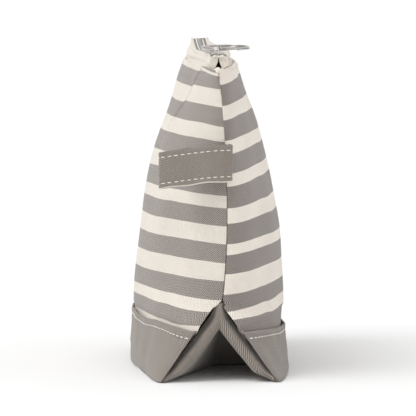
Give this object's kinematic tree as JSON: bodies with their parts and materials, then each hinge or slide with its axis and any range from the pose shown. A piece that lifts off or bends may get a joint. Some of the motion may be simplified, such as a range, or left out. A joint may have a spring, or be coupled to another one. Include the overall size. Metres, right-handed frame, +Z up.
{
  "type": "zip-top canvas bag",
  "caption": "Upright soft striped canvas bag with a tucked twill base, a zip between puffed top facings, a split ring on the slider and a folded tab in one end seam",
  "frame": {"origin": "on the floor under the middle of the bag", "axes": "+X along the bag toward the end where the slider rests when closed, +Z up, front panel toward -Y"},
  "size_m": [0.2646, 0.1139, 0.2383],
  "materials": {
    "striped_canvas": "herringbone cotton canvas, woven warm grey and cream stripes",
    "grey_twill": "warm grey cotton twill",
    "cream_canvas": "cream plain-weave canvas",
    "zip_tape": "ribbed grey woven tape",
    "zip_metal": "bright cast teeth",
    "bright_metal": "polished nickel plate",
    "thread": "off-white sewing thread"
  },
  "bodies": {
    "bag": {"front_panel": "striped_canvas", "back_panel": "striped_canvas", "base_panel": "grey_twill", "near_gusset": "grey_twill", "far_gusset": "grey_twill", "front_facing": "cream_canvas", "back_facing": "cream_canvas", "front_zip_tape": "zip_tape", "back_zip_tape": "zip_tape", "front_zip_teeth": "zip_metal", "back_zip_teeth": "zip_metal", "near_end_stops": "zip_metal", "far_end_stop": "zip_metal", "front_base_stitching": "thread", "back_base_stitching": "thread", "front_rim_stitching": "thread", "back_rim_stitching": "thread"},
    "slider": {"slider_body": "bright_metal"},
    "ring": {"split_ring": "bright_metal"},
    "tab_loop": {"side_tab": "grey_twill", "side_tab_stitching": "thread"}
  },
  "joints": [
    {"name": "zip_slide", "type": "slide", "parent": "bag", "child": "slider", "axis": [-1, 0, 0], "range_m": [0, 0.207]},
    {"name": "ring_lift", "type": "hinge", "parent": "slider", "child": "ring", "pos_m": [0.1115, 0, 0.2339], "axis": [0, 1, 0], "range_deg": [0, 90]},
    {"name": "tab_swing", "type": "hinge", "parent": "bag", "child": "tab_loop", "pos_m": [0.1296, 0.0046, 0.153], "axis": [0, 0, 1], "range_deg": [0, 90]}
  ]
}
